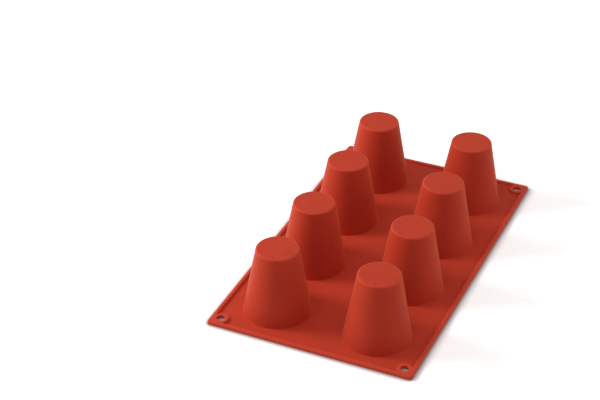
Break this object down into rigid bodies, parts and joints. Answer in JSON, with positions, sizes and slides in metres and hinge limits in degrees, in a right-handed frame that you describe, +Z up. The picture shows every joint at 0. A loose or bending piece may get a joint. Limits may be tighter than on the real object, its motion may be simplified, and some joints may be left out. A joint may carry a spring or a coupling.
{
  "type": "baba mould",
  "caption": "Flexible silicone baking mould for babas: a rectangular sheet with a raised rim and corner hanging eyelets that carries deep tapered round cups with flat closed ends.",
  "frame": {"origin": "centre of the cavity face, which lies on the ground, with the cups standing up", "axes": "+X along the sheet from row 1 to row 4, +Y across the sheet to the left column, +Z up through the closed cup ends"},
  "size_m": [0.3, 0.175, 0.061],
  "materials": {
    "silicone_sheet": "satin terracotta red silicone rubber",
    "silicone_web": "satin terracotta red silicone rubber",
    "silicone_cup": "satin terracotta red silicone rubber",
    "silicone_cup_end": "satin terracotta red silicone rubber"
  },
  "bodies": {
    "row_1": {"row_panel_1": "silicone_sheet", "cup_wall_1_left": "silicone_cup", "cup_wall_1_right": "silicone_cup", "flex_web_1_2": "silicone_web"},
    "row_2": {"row_panel_2": "silicone_sheet", "cup_wall_2_left": "silicone_cup", "cup_wall_2_right": "silicone_cup", "flex_web_2_3": "silicone_web"},
    "row_3": {"row_panel_3": "silicone_sheet", "cup_wall_3_left": "silicone_cup", "cup_wall_3_right": "silicone_cup"},
    "row_4": {"row_panel_4": "silicone_sheet", "cup_wall_4_left": "silicone_cup", "cup_wall_4_right": "silicone_cup", "flex_web_3_4": "silicone_web"},
    "end_1_left": {"cup_end_1_left": "silicone_cup_end"},
    "end_1_right": {"cup_end_1_right": "silicone_cup_end"},
    "end_2_left": {"cup_end_2_left": "silicone_cup_end"},
    "end_2_right": {"cup_end_2_right": "silicone_cup_end"},
    "end_3_left": {"cup_end_3_left": "silicone_cup_end"},
    "end_3_right": {"cup_end_3_right": "silicone_cup_end"},
    "end_4_left": {"cup_end_4_left": "silicone_cup_end"},
    "end_4_right": {"cup_end_4_right": "silicone_cup_end"}
  },
  "joints": [
    {"name": "flex_1_2", "type": "hinge", "parent": "row_2", "child": "row_1", "pos_m": [-0.0729, 0, 0.00065], "axis": [0, 1, 0], "range_deg": [0, 32], "stiffness_Nm_per_rad": 0.05, "deforming": ["flex_web_1_2"]},
    {"name": "flex_2_3", "type": "hinge", "parent": "row_3", "child": "row_2", "pos_m": [0, 0, 0.00065], "axis": [0, 1, 0], "range_deg": [0, 32], "stiffness_Nm_per_rad": 0.05, "deforming": ["flex_web_2_3"]},
    {"name": "flex_3_4", "type": "hinge", "parent": "row_3", "child": "row_4", "pos_m": [0.0729, 0, 0.00065], "axis": [0, -1, 0], "range_deg": [0, 32], "stiffness_Nm_per_rad": 0.05, "deforming": ["flex_web_3_4"]},
    {"name": "push_out_1_left", "type": "slide", "parent": "row_1", "child": "end_1_left", "axis": [0, 0, -1], "range_m": [0, 0.022], "stiffness_N_per_m": 200},
    {"name": "push_out_1_right", "type": "slide", "parent": "row_1", "child": "end_1_right", "axis": [0, 0, -1], "range_m": [0, 0.022], "stiffness_N_per_m": 200},
    {"name": "push_out_2_left", "type": "slide", "parent": "row_2", "child": "end_2_left", "axis": [0, 0, -1], "range_m": [0, 0.022], "stiffness_N_per_m": 200},
    {"name": "push_out_2_right", "type": "slide", "parent": "row_2", "child": "end_2_right", "axis": [0, 0, -1], "range_m": [0, 0.022], "stiffness_N_per_m": 200},
    {"name": "push_out_3_left", "type": "slide", "parent": "row_3", "child": "end_3_left", "axis": [0, 0, -1], "range_m": [0, 0.022], "stiffness_N_per_m": 200},
    {"name": "push_out_3_right", "type": "slide", "parent": "row_3", "child": "end_3_right", "axis": [0, 0, -1], "range_m": [0, 0.022], "stiffness_N_per_m": 200},
    {"name": "push_out_4_left", "type": "slide", "parent": "row_4", "child": "end_4_left", "axis": [0, 0, -1], "range_m": [0, 0.022], "stiffness_N_per_m": 200},
    {"name": "push_out_4_right", "type": "slide", "parent": "row_4", "child": "end_4_right", "axis": [0, 0, -1], "range_m": [0, 0.022], "stiffness_N_per_m": 200}
  ]
}
